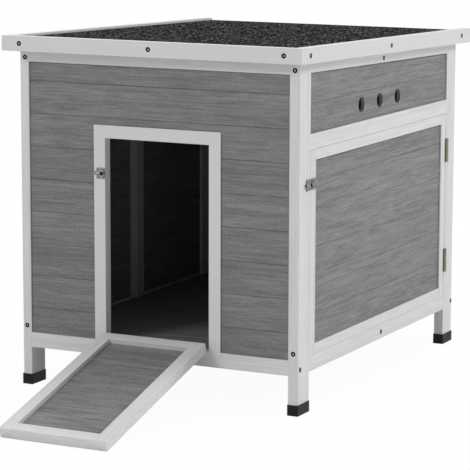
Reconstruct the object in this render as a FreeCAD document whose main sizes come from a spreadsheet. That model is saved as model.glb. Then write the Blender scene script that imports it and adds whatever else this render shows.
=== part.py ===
import FreeCAD, Part
import os
import re
import Sketcher

from FreeCAD import Placement, Rotation, Vector

# Raised wooden hen coop: a boarded cabin on four capped legs under a felted lean-to roof. The front doorway's
# door folds down into a ramp, and the right side has a latched door with vents over it.
# Millimetres, +Z up. The ramp is lowered to the ground, the side door is shut, both bolts are drawn back.
# The origin is on the ground in the middle of the whole box, ramp included, and the doorway faces -Y.
# Formulas count x from the left face of the cabin, y from its front face and z from the ground.

SIZES = {
    # cabin frame
    "width": 610,
    "depth": 790,
    "post_wide": 20,
    "post_deep": 50,
    "post_round": 3,
    "bar_thick": 20,
    "rail_tall": 30,
    "rail_under": 77,
    "wall_top": 651.2,
    # black caps under the posts
    "cap_tall": 21,
    "cap_wall": 1.5,
    "cap_floor": 3,
    # roof: underside over the front faces, pitch in degrees down to the rear, overhangs beyond the cabin
    "eave": 684.8,
    "roof_pitch": 1.375,
    "roof_thick": 12,
    "roof_ahead": 15,
    "roof_behind": 35,
    "felt_thick": 1.5,
    "fascia_thick": 20,
    "fascia_tall": 30,
    "fascia_lip": 4.6,
    # tongue-and-groove boards, and the grooves of the frame that hold their ends
    "board_thick": 10,
    "board_recess": 3,
    "groove_deep": 5,
    "board_grip": 4,
    "joint_gap": 0.3,
    "joint_vee": 1,
    "tongue_tall": 4,
    "tongue_thick": 3,
    "tongue_slack": 0.2,
    "wall_joint": 159.6,
    "wall_pitch": 64.85,
    # doorway in the front wall
    "jamb_left": 167,
    "jamb_wide": 25,
    "doorway_wide": 228,
    "head_under": 509.2,
    "head_tall": 25.3,
    # side door, and the wall over it
    "door_ahead": 51,
    "door_long": 687.5,
    "door_under": 107.4,
    "door_tall": 397.3,
    "door_stile": 25,
    "door_rail": 20.5,
    "door_joint": 185.1,
    "door_pitch": 64.7,
    "middle_under": 505.2,
    "vent_round": 15,
    "vent_ahead": 294,
    "vent_pitch": 91,
    "vent_height": 568,
    "upper_joint": 592.9,
    # inside the cabin
    "batten_ahead": 418,
    "batten_wide": 29,
    "batten_thick": 17,
    "floor_top": 105,
    "floor_thick": 10,
    "floor_pitch": 93.75,
    "bearer_wide": 20,
    # ramp, along and across it, and its hinge pin ahead of the front wall and below the shut ramp
    "ramp_left": 193.5,
    "ramp_wide": 225,
    "ramp_long": 400,
    "ramp_bar": 25,
    "ramp_gap": 1.2,
    "panel_thick": 8,
    "pin_ahead": 2.4,
    "pin_below": 3.3,
    # butt hinges of the side door
    "butt_long": 50,
    "butt_height": 161,
    "butt_apart": 240,
    "butt_round": 3.25,
    "butt_reach": 21,
    "butt_thick": 0.7,
    "butt_pin": 1.5,
    # flap hinges of the ramp
    "flap_long": 36,
    "flap_left": 38.5,
    "flap_apart": 112,
    "flap_round": 2.2,
    "flap_reach": 22,
    "flap_thick": 0.9,
    "flap_pin": 1.1,
    # clearances and pin heads of every hinge
    "pin_slack": 0.05,
    "pin_head": 0.8,
    "knuckle_gap": 0.3,
    "leaf_clear": 0.15,
    # barrel bolts, counted along their travel from the edge of the plate and out from the face they lie on
    "bolt_ahead": 31,
    "bolt_left": 173,
    "bolt_height": 439.5,
    "plate_long": 19,
    "plate_tall": 22,
    "plate_thick": 1,
    "plate_round": 2,
    "barrel_start": -4.5,
    "barrel_long": 14.3,
    "barrel_round": 2.8,
    "rod_rise": 3.2,
    "rod_round": 1.6,
    "rod_slack": 0.1,
    "rod_tail": 4,
    "rod_long": 23.5,
    "rod_bevel": 0.6,
    "knob_along": 13.4,
    "knob_tall": 3.6,
    "knob_round": 2.9,
    "knob_bevel": 1,
    "keeper_start": 22.5,
    "keeper_long": 28.5,
    "loop_start": 28.6,
    "loop_long": 6,
    "loop_round": 5.5,
    "loop_thick": 1,
}

# Places worked out from the driving sizes.
DERIVED = {
    "slope": "tan(roof_pitch)",
    "right_post": "width - post_wide",
    "rear_post": "depth - post_deep",
    "rail_top": "rail_under + rail_tall",
    "between": "width - 2 * post_wide",
    "board_back": "board_recess + board_thick",
    "groove_inside": "bar_thick - board_back",
    "rear_wall_top": "wall_top - (rear_post - post_deep) * slope",
    "jamb_right": "jamb_left + jamb_wide + doorway_wide",
    "doorway_end": "jamb_right + jamb_wide",
    "head_top": "head_under + head_tall",
    "door_behind": "door_ahead + door_long",
    "door_top": "door_under + door_tall",
    "middle_top": "middle_under + rail_tall",
    "floor_under": "floor_top - floor_thick",
    "pin_height": "rail_top + ramp_gap - pin_below",
    "ramp_arm": "ramp_long + pin_below",
    "ramp_tilt": "asin(pin_height / hypot(ramp_arm; pin_ahead)) + atan2(pin_ahead; ramp_arm)",
    "ramp_fold": "90 deg + ramp_tilt",
    "ramp_reach": "pin_ahead + ramp_arm * cos(ramp_tilt) + (pin_ahead + bar_thick) * sin(ramp_tilt)",
    "left": "-width / 2",
    "front": "(ramp_reach - depth - roof_behind) / 2",
    "roof_long": "(roof_ahead + depth + roof_behind) / cos(roof_pitch)",
    "fascia_under": "roof_thick + felt_thick + fascia_lip - fascia_tall",
    "butt_axis": "(door_behind + rear_post) / 2",
    "butt_half_gap": "(rear_post - door_behind) / 2",
    "bolt_lift": "bolt_height - pin_height",
}

AHEAD = Vector(1, 0, 0)
RISING = Vector(0, 0, 1)

doc = FreeCAD.newDocument("hen_coop")
sheet = doc.addObject("Spreadsheet::Sheet", "Sizes")
for row, (alias, number) in enumerate(SIZES.items(), start=1):
    sheet.set(f"A{row}", alias)
    sheet.set(f"B{row}", str(number))
    sheet.setAlias(f"B{row}", alias)
doc.recompute()

pieces = []


def spell(text):
    """Write a formula out in full: derived names open up, driving names point at their cell."""
    def word(match):
        name = match.group(0)
        if name in DERIVED:
            return "(" + spell(DERIVED[name]) + ")"
        return "Sizes." + name if name in SIZES else name
    return re.sub(r"[a-z_]+", word, text)


def value(text):
    """The number that a formula gives, in millimetres or degrees."""
    result = sheet.evalExpression(spell(text))
    return float(getattr(result, "Value", result))


def bind(item, name, text):
    """Keep a property equal to a formula of the sheet."""
    item.setExpression(name, spell(text))


def roof_at(y):
    """The height of the roof board's underside at a place along the side."""
    return f"(eave - ({y}) * slope)"


def side_top_at(y):
    """The underside of the sloping side rails, level with the front rail where they leave the front posts."""
    return f"(wall_top - (({y}) - post_deep) * slope)"


def new_body(label, x="0", y="0", z="0", rotation=Rotation(), turn=None):
    """An empty sub-part whose own frame stands at a bound place, turned by a bound angle about an axis."""
    body = doc.addObject("PartDesign::Body", label)
    body.Label = label
    body.AllowCompound = True
    body.Placement = Placement(Vector(), Rotation(turn[0], value(turn[1])) if turn else rotation)
    bind(body, "Placement.Base.x", f"left + {x}")
    bind(body, "Placement.Base.y", f"front + {y}")
    bind(body, "Placement.Base.z", z)
    if turn:
        bind(body, "Placement.Rotation.Angle", turn[1])
    pieces.append(body)
    return body


def origin_item(body, role):
    """One of the planes or axes of a body's own origin."""
    return next(item for item in body.Origin.OriginFeatures if item.Role == role)


def new_sketch(body, plane, start="0"):
    """A sketch on one of the body's own planes, moved along its normal by a bound start."""
    sketch = body.newObject("Sketcher::SketchObject", "outline")
    sketch.AttachmentSupport = (origin_item(body, plane), "")
    sketch.MapMode = "FlatFace"
    bind(sketch, "AttachmentOffset.Base.z", start)
    return sketch


def hold(sketch, kind, *target):
    """Add a constraint whose size, the last argument, stays bound to a formula."""
    *where, text = target
    number = sketch.addConstraint(Sketcher.Constraint(kind, *where, value(text)))
    bind(sketch, f"Constraints[{number}]", text)


def pin_point(sketch, curve, end, across, up):
    """Hold one point of a sketch by two bound distances from its origin."""
    hold(sketch, "DistanceX", -1, 1, curve, end, across)
    hold(sketch, "DistanceY", -1, 1, curve, end, up)


def polygon(sketch, corners):
    """A closed outline of straight sides through bound corners."""
    points = [Vector(value(across), value(up), 0) for across, up in corners]
    count = len(points)
    for index, point in enumerate(points):
        sketch.addGeometry(Part.LineSegment(point, points[(index + 1) % count]), False)
    for index, (across, up) in enumerate(corners):
        sketch.addConstraint(Sketcher.Constraint("Coincident", index, 2, (index + 1) % count, 1))
        pin_point(sketch, index, 1, across, up)


def circle(sketch, across, up, radius):
    """A circle with a bound centre and radius."""
    centre = Vector(value(across), value(up), 0)
    curve = sketch.addGeometry(Part.Circle(centre, RISING, value(radius)), False)
    pin_point(sketch, curve, 3, across, up)
    hold(sketch, "Radius", curve, radius)


def arch(sketch, up, inner, outer):
    """A half ring standing on a bound height: two arcs about one centre, joined by their feet."""
    height, small, large = value(up), value(inner), value(outer)
    centre = Vector(0, height, 0)
    half_turn = FreeCAD.Units.Quantity("180 deg").getValueAs("rad").Value
    rings = [Part.ArcOfCircle(Part.Circle(centre, RISING, radius), 0, half_turn) for radius in (large, small)]
    for ring in rings:
        sketch.addGeometry(ring, False)
    sketch.addGeometry(Part.LineSegment(Vector(large, height, 0), Vector(small, height, 0)), False)
    sketch.addGeometry(Part.LineSegment(Vector(-small, height, 0), Vector(-large, height, 0)), False)
    for ring, ring_end, foot, foot_end in ((0, 1, 2, 1), (1, 1, 2, 2), (1, 2, 3, 1), (0, 2, 3, 2)):
        sketch.addConstraint(Sketcher.Constraint("Coincident", ring, ring_end, foot, foot_end))
    for ring in (0, 1):
        pin_point(sketch, ring, 3, "0", up)
    pin_point(sketch, 2, 1, outer, up)
    pin_point(sketch, 2, 2, inner, up)
    for end in (1, 2):
        hold(sketch, "DistanceY", -1, 1, 3, end, up)


def rectangle(low_across, low_up, high_across, high_up):
    """The corners of an upright rectangle."""
    return [(low_across, low_up), (high_across, low_up), (high_across, high_up), (low_across, high_up)]


def pad(body, plane, length, draw, *shape, start="0"):
    """Add a prism along a plane's normal over what a drawing function makes."""
    sketch = new_sketch(body, plane, start)
    draw(sketch, *shape)
    feature = body.newObject("PartDesign::Pad", "pad")
    feature.Profile = sketch
    bind(feature, "Length", length)
    doc.recompute()


def pocket(body, plane, draw, *shape, start="0", depth=None):
    """Cut along a plane's normal: right through both ways, or for a depth from the start."""
    before = body.Shape.Volume
    sketch = new_sketch(body, plane, start)
    draw(sketch, *shape)
    feature = body.newObject("PartDesign::Pocket", "pocket")
    feature.Profile = sketch
    if depth:
        feature.Reversed = True
        bind(feature, "Length", depth)
    else:
        feature.Type = "ThroughAll"
        feature.SideType = "Symmetric"
    doc.recompute()
    if body.Shape.Volume > before - 1e-3:
        raise RuntimeError(f"{body.Label}: a cut removed nothing")
    return feature


def repeat(body, feature, axis, length, count):
    """Repeat a cut along one of the body's axes."""
    before = body.Shape.Volume
    pattern = body.newObject("PartDesign::LinearPattern", "row")
    pattern.Originals = [feature]
    pattern.Direction = (origin_item(body, axis), [""])
    bind(pattern, "Length", length)
    pattern.Occurrences = count
    body.Tip = pattern
    doc.recompute()
    if body.Shape.Volume > before - 1e-3:
        raise RuntimeError(f"{body.Label}: a repeated cut removed nothing")


def revolve(body, plane, axis, draw, *shape):
    """Turn a half section, drawn on one of the body's planes, about an axis of its sketch."""
    sketch = new_sketch(body, plane)
    draw(sketch, *shape)
    turned = body.newObject("PartDesign::Revolution", "turned")
    turned.Profile = sketch
    turned.ReferenceAxis = (sketch, [axis])
    turned.Angle = 360
    doc.recompute()


def upright(edge, x=None, y=None):
    """Whether an edge is straight and vertical, and stands at a place if one is given."""
    ends = [vertex.Point for vertex in edge.Vertexes]
    if len(ends) < 2 or abs(abs(ends[1].z - ends[0].z) - edge.Length) > 1e-6:
        return False
    return (x is None or abs(ends[0].x - value(x)) < 1e-3) and (y is None or abs(ends[0].y - value(y)) < 1e-3)


def round_edges(body, radius, chosen):
    """Round the edges that a test picks out."""
    names = [f"Edge{number}" for number, edge in enumerate(body.Tip.Shape.Edges, start=1) if chosen(edge)]
    base = body.Tip
    feature = body.newObject("PartDesign::Fillet", "rounding")
    feature.Base = (base, names)
    bind(feature, "Radius", radius)
    doc.recompute()


def timber(label, start, length, corners, **place):
    """A length of timber: an outline seen from the right, y across and z up, padded along X from a start."""
    body = new_body(label, x=start, **place)
    pad(body, "YZ_Plane", length, polygon, corners)
    return body


def joint_corners(face, inward, first, lying):
    """The gap between two tongue-and-groove boards: a vee at the face and a step round the tongue.

    The depth counts from the face, with the sign inward, and the gap's place along the wall from first.
    """
    half = "joint_gap / 2"
    tongue = "(board_thick - tongue_thick) / 2"
    tongue_back = f"({tongue} + tongue_thick)"
    slot = f"({tongue} - tongue_slack)"
    slot_back = f"({tongue_back} + tongue_slack)"
    slot_top = "(tongue_tall + 2 * tongue_slack)"
    steps = [
        ("0", f"(-joint_vee - {half})"), ("joint_vee", f"(-{half})"), (tongue, f"(-{half})"),
        (tongue, "tongue_tall"), (tongue_back, "tongue_tall"), (tongue_back, f"(-{half})"),
        ("board_thick", f"(-{half})"), ("board_thick", half), (slot_back, half), (slot_back, slot_top),
        (slot, slot_top), (slot, half), ("joint_vee", half), ("0", f"(joint_vee + {half})"),
    ]
    corners = [(f"{face} {inward} {depth}", f"{first} + {along}") for depth, along in steps]
    return [(across, up) for up, across in corners] if lying else corners


def cut_joints(body, plane, face, inward, first, pitch, count, lying=False):
    """Part a wall, or a floor that lies flat, into boards with one joint repeated at their pitch."""
    joint = pocket(body, plane, polygon, joint_corners(face, inward, first, lying))
    if count > 1:
        repeat(body, joint, "Y_Axis" if lying else "Z_Axis", f"{pitch} * {count - 1}", count)


def post(end, side):
    """A post with a sloping top, a rounded outer corner, and a groove for the boards of each wall it ends."""
    y = "0" if end == "front" else "rear_post"
    back = f"({y} + post_deep)"
    corners = [(y, "cap_floor"), (back, "cap_floor"), (back, roof_at(back)), (y, roof_at(y))]
    body = timber(f"post_{end}_{side}", "0" if side == "left" else "right_post", "post_wide", corners)
    outer_x = "0" if side == "left" else "post_wide"
    outer_y = "0" if end == "front" else "depth"
    round_edges(body, "post_round", lambda edge: upright(edge, outer_x, outer_y))
    low = "rail_top - groove_deep"
    wall = "board_recess" if end == "front" else "depth - board_back"
    inner = "post_wide - groove_deep" if side == "left" else "0"
    end_groove = rectangle(wall, low, f"{wall} + board_thick", "eave")
    pocket(body, "YZ_Plane", polygon, end_groove, start=inner, depth="groove_deep")
    if side == "right":
        low = "middle_top - groove_deep"
    near = "post_deep - groove_deep" if end == "front" else "rear_post"
    side_groove = rectangle(near, low, f"{near} + groove_deep", "eave")
    start = "board_recess" if side == "left" else "groove_inside"
    pocket(body, "YZ_Plane", polygon, side_groove, start=start, depth="board_thick")


def foot_cap(end, side):
    """A moulded cup on the foot of a post."""
    x = "0" if side == "left" else "right_post"
    y = "0" if end == "front" else "rear_post"
    body = new_body(f"foot_cap_{end}_{side}", x=x, y=y)
    outside = rectangle("-cap_wall", "-cap_wall", "post_wide + cap_wall", "post_deep + cap_wall")
    pad(body, "XY_Plane", "cap_tall", polygon, outside)
    round_edges(body, "cap_wall", upright)
    inside = rectangle("0", "0", "post_wide", "post_deep")
    pocket(body, "XY_Plane", polygon, inside, start="cap_floor", depth="cap_tall")


def end_rails(end):
    """Bottom and top rail of the front or rear wall, grooved where boards stand in them."""
    y = "0" if end == "front" else "depth - bar_thick"
    back = f"({y} + bar_thick)"
    wall = "board_recess" if end == "front" else "depth - board_back"
    wall_back = f"{wall} + board_thick"
    body = timber(f"bottom_rail_{end}", "post_wide", "between", rectangle(y, "rail_under", back, "rail_top"))
    groove = rectangle(wall, "rail_top - groove_deep", wall_back, "rail_top")
    if end == "front":
        pocket(body, "YZ_Plane", polygon, groove, depth="jamb_left + groove_deep - post_wide")
        beyond = "doorway_end - groove_deep - post_wide"
        pocket(body, "YZ_Plane", polygon, groove, start=beyond, depth="between")
    else:
        pocket(body, "YZ_Plane", polygon, groove)
    under = "wall_top" if end == "front" else "rear_wall_top"
    corners = [(y, under), (back, under), (back, roof_at(back)), (y, roof_at(y))]
    body = timber(f"top_rail_{end}", "post_wide", "between", corners)
    pocket(body, "YZ_Plane", polygon, rectangle(wall, under, wall_back, f"{under} + groove_deep"))


def side_rails(side):
    """Bottom and sloping top rail of a side, and on the right the rail over the door."""
    x = "0" if side == "left" else "right_post"
    inside = "board_recess" if side == "left" else "groove_inside"
    near, far = "post_deep", "rear_post"
    body = timber(f"bottom_rail_{side}", x, "bar_thick", rectangle(near, "rail_under", far, "rail_top"))
    if side == "left":
        groove = rectangle(near, "rail_top - groove_deep", far, "rail_top")
        pocket(body, "YZ_Plane", polygon, groove, start=inside, depth="board_thick")
    else:
        corners = rectangle(near, "middle_under", far, "middle_top")
        middle = timber("middle_rail_right", x, "bar_thick", corners)
        groove = rectangle(near, "middle_top - groove_deep", far, "middle_top")
        pocket(middle, "YZ_Plane", polygon, groove, start=inside, depth="board_thick")
    corners = [(near, side_top_at(near)), (far, side_top_at(far)), (far, roof_at(far)), (near, roof_at(near))]
    body = timber(f"top_rail_{side}", x, "bar_thick", corners)
    groove = corners[:2] + [(y, f"{side_top_at(y)} + groove_deep") for y in (far, near)]
    pocket(body, "YZ_Plane", polygon, groove, start=inside, depth="board_thick")


def doorway():
    """The jambs and head that line the front doorway, grooved outside for the boards round it."""
    corners = rectangle("0", "rail_top", "bar_thick", "head_under")
    groove = rectangle("board_recess", "rail_top", "board_back", "head_under")
    for side, x, outer in (("left", "jamb_left", "0"), ("right", "jamb_right", "jamb_wide - groove_deep")):
        body = timber(f"doorway_jamb_{side}", x, "jamb_wide", corners)
        pocket(body, "YZ_Plane", polygon, groove, start=outer, depth="groove_deep")
    long = "(doorway_end - jamb_left)"
    body = timber("doorway_head", "jamb_left", long, rectangle("0", "head_under", "bar_thick", "head_top"))
    top = rectangle("board_recess", "head_top - groove_deep", "board_back", "head_top")
    pocket(body, "YZ_Plane", polygon, top)
    end = rectangle("board_recess", "head_under", "board_back", "head_top")
    for start in ("0", f"{long} - groove_deep"):
        pocket(body, "YZ_Plane", polygon, end, start=start, depth="groove_deep")


def end_boards(end):
    """The boards of the front or rear wall; those of the front stop at the doorway's jambs and head."""
    y = "board_recess" if end == "front" else "depth - board_back"
    top = "wall_top" if end == "front" else "rear_wall_top"
    start = "(post_wide - board_grip)"
    corners = rectangle(y, "rail_top - board_grip", f"{y} + board_thick", f"{top} + board_grip")
    body = timber(f"{end}_boards", start, "between + 2 * board_grip", corners)
    if end == "front":
        gap = rectangle("0", "rail_under", "bar_thick", "head_top - board_grip")
        gap_start = f"jamb_left + board_grip - {start}"
        gap_long = "doorway_end - jamb_left - 2 * board_grip"
        pocket(body, "YZ_Plane", polygon, gap, start=gap_start, depth=gap_long)
        cut_joints(body, "YZ_Plane", "board_recess", "+", "wall_joint", "wall_pitch", 8)
    else:
        cut_joints(body, "YZ_Plane", "depth - board_recess", "-", "wall_joint", "wall_pitch", 8)


def side_outline(low):
    """The outline of the boards between the posts of a side, their top edge sloping with the roof."""
    near, far = "post_deep - board_grip", "rear_post + board_grip"
    tops = [(y, f"{side_top_at(y)} + board_grip") for y in (far, near)]
    return [(near, low), (far, low)] + tops


def side_boards():
    """The boards of the whole left side, and of the wall over the right side's door with its three vents."""
    body = timber("left_boards", "board_recess", "board_thick", side_outline("rail_top - board_grip"))
    cut_joints(body, "XZ_Plane", "0", "+", "wall_joint", "wall_pitch", 8)
    x = "right_post + groove_inside"
    body = timber("right_upper_boards", x, "board_thick", side_outline("middle_top - board_grip"))
    vent = pocket(body, "YZ_Plane", circle, "vent_ahead", "vent_height", "vent_round")
    repeat(body, vent, "Y_Axis", "2 * vent_pitch", 3)
    cut_joints(body, "XZ_Plane", "board_thick", "-", "upper_joint", "wall_pitch", 1)


def cabin_inside():
    """The batten inside the left wall, and the boarded floor on its bearers."""
    near, far = "batten_ahead", "(batten_ahead + batten_wide)"
    corners = [(near, "rail_top"), (far, "rail_top"), (far, side_top_at(far)), (near, side_top_at(near))]
    timber("left_wall_batten", "board_back", "batten_thick", corners)
    corners = rectangle("bar_thick", "floor_under", "depth - bar_thick", "floor_top")
    body = timber("floor_boards", "post_wide", "between", corners)
    cut_joints(body, "YZ_Plane", "floor_top", "-", "bar_thick + floor_pitch", "floor_pitch", 7, lying=True)
    body = new_body("floor_bearers", x="post_wide")
    corners = rectangle("bar_thick", "rail_under", "depth - bar_thick", "floor_under")
    for start in ("0", "(between - bearer_wide) / 2", "between - bearer_wide"):
        pad(body, "YZ_Plane", "bearer_wide", polygon, corners, start=start)


def roof():
    """The roof board, its felt, and the fascias mitred round the front and sides."""
    lean = dict(y="-roof_ahead", z=roof_at("-roof_ahead"), turn=(-AHEAD, "roof_pitch"))
    sheet_corners = rectangle("0", "0", "width", "roof_long")
    board = new_body("roof_board", **lean)
    pad(board, "XY_Plane", "roof_thick", polygon, sheet_corners)
    felt = new_body("roofing_felt", **lean)
    pad(felt, "XY_Plane", "felt_thick", polygon, sheet_corners, start="roof_thick")
    out, far = "-fascia_thick", "width + fascia_thick"
    outlines = {
        "front": [(out, out), (far, out), ("width", "0"), ("0", "0")],
        "left": [(out, out), ("0", "0"), ("0", "roof_long"), (out, "roof_long")],
        "right": [(far, out), (far, "roof_long"), ("width", "roof_long"), ("width", "0")],
    }
    for side, corners in outlines.items():
        body = new_body(f"fascia_{side}", **lean)
        pad(body, "XY_Plane", "fascia_tall", polygon, corners, start="fascia_under")


def side_door():
    """The framed door of the right side, its boards let into grooves of the frame."""
    near, far = "(door_ahead + door_stile)", "(door_behind - door_stile)"
    low, top = "(door_under + door_rail)", "(door_top - door_rail)"
    groove_low, groove_top = f"{low} - groove_deep", f"{top} + groove_deep"
    for end, start, stop, edge in (("front", "door_ahead", near, f"{near} - groove_deep"),
                                   ("rear", far, "door_behind", far)):
        corners = rectangle(start, "door_under", stop, "door_top")
        body = timber(f"door_stile_{end}", "right_post", "bar_thick", corners)
        groove = rectangle(edge, groove_low, f"{edge} + groove_deep", groove_top)
        pocket(body, "YZ_Plane", polygon, groove, start="groove_inside", depth="board_thick")
    for end, under, upper, edge in (("bottom", "door_under", low, groove_low),
                                    ("top", top, "door_top", top)):
        body = timber(f"door_rail_{end}", "right_post", "bar_thick", rectangle(near, under, far, upper))
        groove = rectangle(near, edge, far, f"{edge} + groove_deep")
        pocket(body, "YZ_Plane", polygon, groove, start="groove_inside", depth="board_thick")
    held_low, held_top = f"{low} - board_grip", f"{top} + board_grip"
    corners = rectangle(f"{near} - board_grip", held_low, f"{far} + board_grip", held_top)
    body = timber("door_boards", "right_post + groove_inside", "board_thick", corners)
    cut_joints(body, "XZ_Plane", "board_thick", "-", "door_joint", "door_pitch", 5)


def ramp():
    """The framed ramp with a panel let into its grooves, which shuts the doorway when it folds up.

    It is drawn shut, with its hinge pin at the origin, and then turned about the pin.
    """
    place = dict(y="-pin_ahead", z="pin_height", turn=(AHEAD, "ramp_fold"))
    face, back = "pin_ahead", "pin_ahead + bar_thick"
    slot, slot_back = "pin_ahead + board_recess", "pin_ahead + board_recess + panel_thick"
    low, top = "(pin_below + ramp_bar)", "(ramp_arm - ramp_bar)"
    inside = "(ramp_wide - 2 * ramp_bar)"
    stile = rectangle(face, "pin_below", back, "ramp_arm")
    groove_low, groove_top = f"{low} - groove_deep", f"{top} + groove_deep"
    groove = rectangle(slot, groove_low, slot_back, groove_top)
    sides = {"left": ("0", "ramp_bar - groove_deep"), "right": ("ramp_wide - ramp_bar", "0")}
    for side, (start, edge) in sides.items():
        body = timber(f"ramp_stile_{side}", f"ramp_left + {start}", "ramp_bar", stile, **place)
        pocket(body, "YZ_Plane", polygon, groove, start=edge, depth="groove_deep")
    for end, under, upper, edge in (("hinge", "pin_below", low, groove_low),
                                    ("free", top, "ramp_arm", top)):
        corners = rectangle(face, under, back, upper)
        body = timber(f"ramp_rail_{end}_end", "ramp_left + ramp_bar", inside, corners, **place)
        pocket(body, "YZ_Plane", polygon, rectangle(slot, edge, slot_back, f"{edge} + groove_deep"))
    panel = rectangle(slot, f"{low} - board_grip", slot_back, f"{top} + board_grip")
    start = "ramp_left + ramp_bar - board_grip"
    timber("ramp_panel", start, f"{inside} + 2 * board_grip", panel, **place)


def hinge_leaves(body, plane, starts, kind, plate, tab, middle):
    """The leaves of a pair of hinges: a plate each, with a middle knuckle or two outer ones round the pin."""
    long, radius = f"{kind}_long", f"{kind}_round"
    knuckle = f"(({long} - 2 * knuckle_gap) / 3)"
    steps = ["1"] if middle else ["0", "2"]
    for start in starts:
        pad(body, plane, long, polygon, plate, start=start)
        for step in steps:
            at = f"{start} + {step} * ({knuckle} + knuckle_gap)"
            pad(body, plane, knuckle, polygon, tab, start=at)
            pad(body, plane, knuckle, circle, "0", "0", radius, start=at)
    pocket(body, plane, circle, "0", "0", f"{kind}_pin + pin_slack")


def hinge_pins(body, plane, starts, kind):
    """A pin through the knuckles of each of a pair of hinges, with a flat head at its far end."""
    long, radius = f"{kind}_long", f"{kind}_pin"
    for start in starts:
        pad(body, plane, long, circle, "0", "0", radius, start=start)
        pad(body, plane, "pin_head", circle, "0", "0", f"{radius} + pin_head", start=f"{start} + {long}")


def door_hinges():
    """Two butt hinges in the gap between the side door and the rear post, their knuckles outside."""
    place = dict(x="(width + butt_round)", y="butt_axis", z="butt_height")
    starts = ("0", "butt_apart")
    edge = "-(butt_round + leaf_clear)"
    post_side = ("(butt_half_gap - butt_thick)", "butt_half_gap")
    door_side = ("-butt_half_gap", "-(butt_half_gap - butt_thick)")
    for label, (low, high), middle in (("door_hinge_post_leaves", post_side, False),
                                       ("door_hinge_door_leaves", door_side, True)):
        body = new_body(label, **place)
        plate = rectangle("-butt_reach", low, edge, high)
        tab = rectangle(edge, low, "-butt_pin", high)
        hinge_leaves(body, "XY_Plane", starts, "butt", plate, tab, middle)
    hinge_pins(new_body("door_hinge_pins", **place), "XY_Plane", starts, "butt")


def ramp_hinges():
    """Two flap hinges, with one leaf on the front rail and one on the underside of the ramp."""
    place = dict(x="(ramp_left + flap_left)", y="-pin_ahead", z="pin_height")
    starts = ("0", "flap_apart")
    face = "pin_ahead - flap_thick"
    clear = "(flap_round + leaf_clear)"
    body = new_body("ramp_hinge_wall_leaves", **place)
    plate = rectangle(face, "-flap_reach", "pin_ahead", f"-{clear}")
    tab = rectangle(face, f"-{clear}", "pin_ahead", "0")
    hinge_leaves(body, "YZ_Plane", starts, "flap", plate, tab, False)
    body = new_body("ramp_hinge_ramp_leaves", turn=(AHEAD, "ramp_fold"), **place)
    plate = rectangle(face, clear, "pin_ahead", "flap_reach")
    tab = rectangle(face, "0", "pin_ahead", clear)
    hinge_leaves(body, "YZ_Plane", starts, "flap", plate, tab, True)
    hinge_pins(new_body("ramp_hinge_pins", **place), "YZ_Plane", starts, "flap")


def bolt_plate(body):
    """The plate of a barrel bolt, with the barrel that guides the rod."""
    half = "plate_tall / 2"
    pad(body, "XY_Plane", "plate_thick", polygon, rectangle("0", f"-{half}", "plate_long", half))
    round_edges(body, "plate_round", upright)
    block = rectangle("-barrel_round", "0", "barrel_round", "rod_rise")
    pad(body, "YZ_Plane", "barrel_long", polygon, block, start="barrel_start")
    pad(body, "YZ_Plane", "barrel_long", circle, "0", "rod_rise", "barrel_round", start="barrel_start")
    pocket(body, "YZ_Plane", circle, "0", "rod_rise", "rod_round + rod_slack")


def bolt_rod(body):
    """The sliding rod, turned with a bevelled tip."""
    tip = "(rod_long - rod_tail)"
    profile = [("-rod_tail", "0"), (tip, "0"), (tip, "rod_round - rod_bevel"),
               (f"{tip} - rod_bevel", "rod_round"), ("-rod_tail", "rod_round")]
    revolve(body, "XY_Plane", "H_Axis", polygon, profile)


def bolt_knob(body):
    """The button grip, hollowed underneath to sit astride the rod."""
    profile = [("0", "0"), ("knob_round", "0"), ("knob_round", "knob_tall - knob_bevel"),
               ("knob_round - knob_bevel", "knob_tall"), ("0", "knob_tall")]
    revolve(body, "XZ_Plane", "V_Axis", polygon, profile)
    pocket(body, "YZ_Plane", circle, "0", "0", "rod_round")


def bolt_keeper(body):
    """The plate with a half-round loop that takes the rod's tip."""
    half = "plate_tall / 2"
    end = "keeper_start + keeper_long"
    pad(body, "XY_Plane", "plate_thick", polygon, rectangle("keeper_start", f"-{half}", end, half))
    round_edges(body, "plate_round", upright)
    ring = ("plate_thick", "loop_round", "loop_round + loop_thick")
    pad(body, "YZ_Plane", "loop_long", arch, *ring, start="loop_start")


def bolts():
    """A barrel bolt beside each door, with its rod drawn back, and the keeper on the door that it locks."""
    outward = {
        "front": Rotation(AHEAD, RISING, Vector(0, -1, 0), "XYZ"),
        "side": Rotation(Vector(0, 1, 0), RISING, AHEAD, "XYZ"),
    }
    places = {
        "front": lambda along, out: dict(x=f"(bolt_left + {along})", y=f"(-{out})"),
        "side": lambda along, out: dict(x=f"(width + {out})", y=f"(bolt_ahead + {along})"),
    }
    for name, place in places.items():
        frame = dict(z="bolt_height", rotation=outward[name])
        bolt_plate(new_body(f"{name}_bolt_plate", **place("0", "0"), **frame))
        bolt_rod(new_body(f"{name}_bolt_rod", **place("0", "rod_rise"), **frame))
        bolt_knob(new_body(f"{name}_bolt_knob", **place("knob_along", "rod_rise"), **frame))
    frame = dict(z="bolt_height", rotation=outward["side"])
    bolt_keeper(new_body("door_keeper", **places["side"]("0", "0"), **frame))
    y = "(pin_ahead * cos(ramp_fold) - bolt_lift * sin(ramp_fold) - pin_ahead)"
    z = "pin_height + pin_ahead * sin(ramp_fold) + bolt_lift * cos(ramp_fold)"
    bolt_keeper(new_body("ramp_keeper", x="bolt_left", y=y, z=z, turn=(AHEAD, "ramp_fold + 90 deg")))


def check():
    """Stop if any object failed or any sub-part is not a sound solid."""
    for item in doc.Objects:
        if "Invalid" in item.State or "Error" in item.State:
            raise RuntimeError(f"{item.Label}: {item.State}")
    for body in pieces:
        shape = body.Shape
        if shape.isNull() or not shape.isValid() or not shape.Solids:
            raise RuntimeError(f"{body.Label}: no valid solid")


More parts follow.
